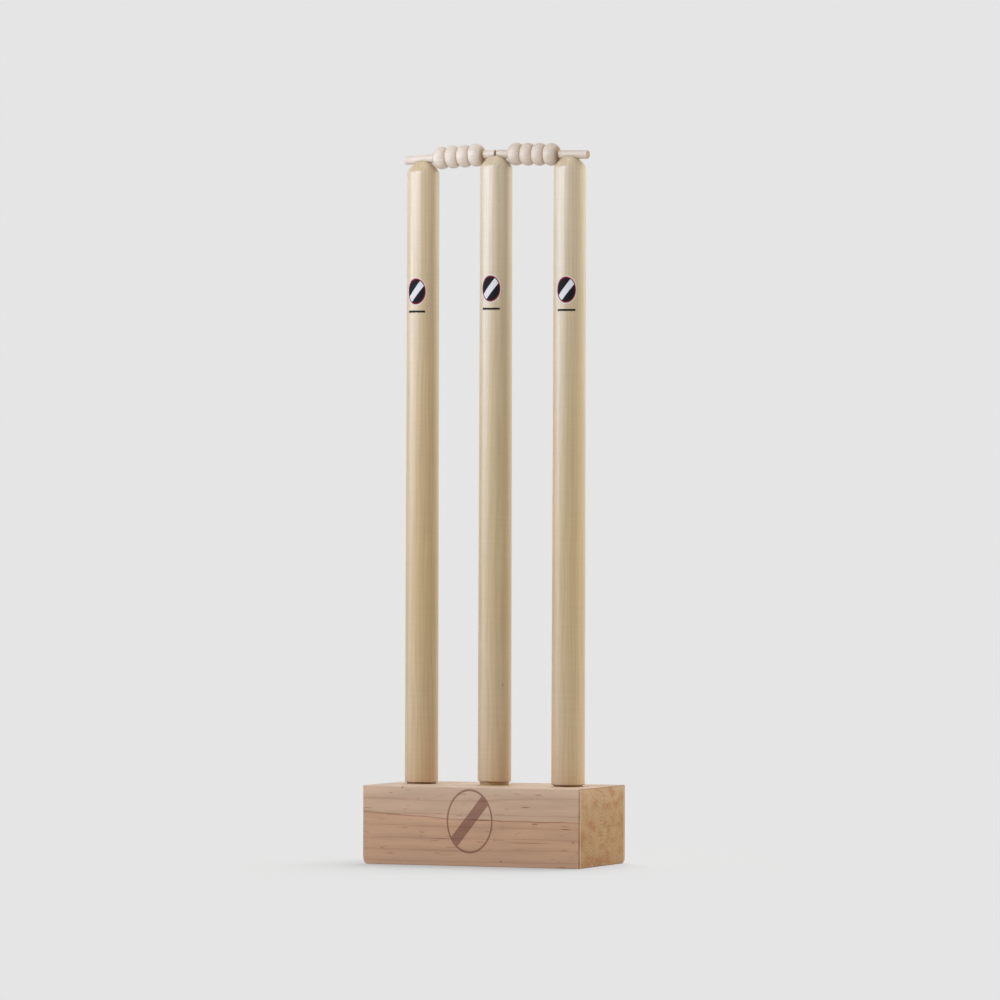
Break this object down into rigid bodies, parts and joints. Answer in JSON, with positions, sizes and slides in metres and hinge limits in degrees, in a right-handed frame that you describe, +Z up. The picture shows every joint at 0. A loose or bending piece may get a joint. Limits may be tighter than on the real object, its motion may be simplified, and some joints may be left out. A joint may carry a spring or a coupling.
{
  "type": "cricket stumps",
  "caption": "Row of turned wooden cricket stumps pushed into a solid timber base, with turned bails lying in the grooves across their heads.",
  "frame": {"origin": "middle of the flat underside of the base, on the surface that the wicket stands on", "axes": "+Z up along the stumps, X along the row of stumps, -Y towards the front face of the base"},
  "size_m": [0.2636, 0.1396, 0.8168],
  "materials": {
    "base_wood": "planed and sanded, with a thin matt oil",
    "stump_wood": "turned, sanded and clear lacquered",
    "bail_wood": "turned and sanded, with a thin matt lacquer"
  },
  "bodies": {
    "base": {"base_block": "base_wood"},
    "middle_stump": {"stump_middle": "stump_wood"},
    "left_stump": {"stump_left": "stump_wood"},
    "right_stump": {"stump_right": "stump_wood"},
    "left_bail": {"bail_left": "bail_wood"},
    "right_bail": {"bail_right": "bail_wood"}
  },
  "joints": [
    {"name": "middle_stump_lift", "type": "slide", "parent": "base", "child": "middle_stump", "axis": [0, 0, 1], "range_m": [0, 0.065]},
    {"name": "left_stump_lift", "type": "slide", "parent": "base", "child": "left_stump", "axis": [0, 0, 1], "range_m": [0, 0.065]},
    {"name": "right_stump_lift", "type": "slide", "parent": "base", "child": "right_stump", "axis": [0, 0, 1], "range_m": [0, 0.065]},
    {"name": "left_bail_lift", "type": "slide", "parent": "middle_stump", "child": "left_bail", "axis": [0, 0, 1], "range_m": [0, 0.1]},
    {"name": "right_bail_lift", "type": "slide", "parent": "middle_stump", "child": "right_bail", "axis": [0, 0, 1], "range_m": [0, 0.1]}
  ],
  "couplings": [
    {"joint": "left_stump_lift", "follows": "middle_stump_lift", "ratio": 1},
    {"joint": "right_stump_lift", "follows": "middle_stump_lift", "ratio": 1}
  ]
}
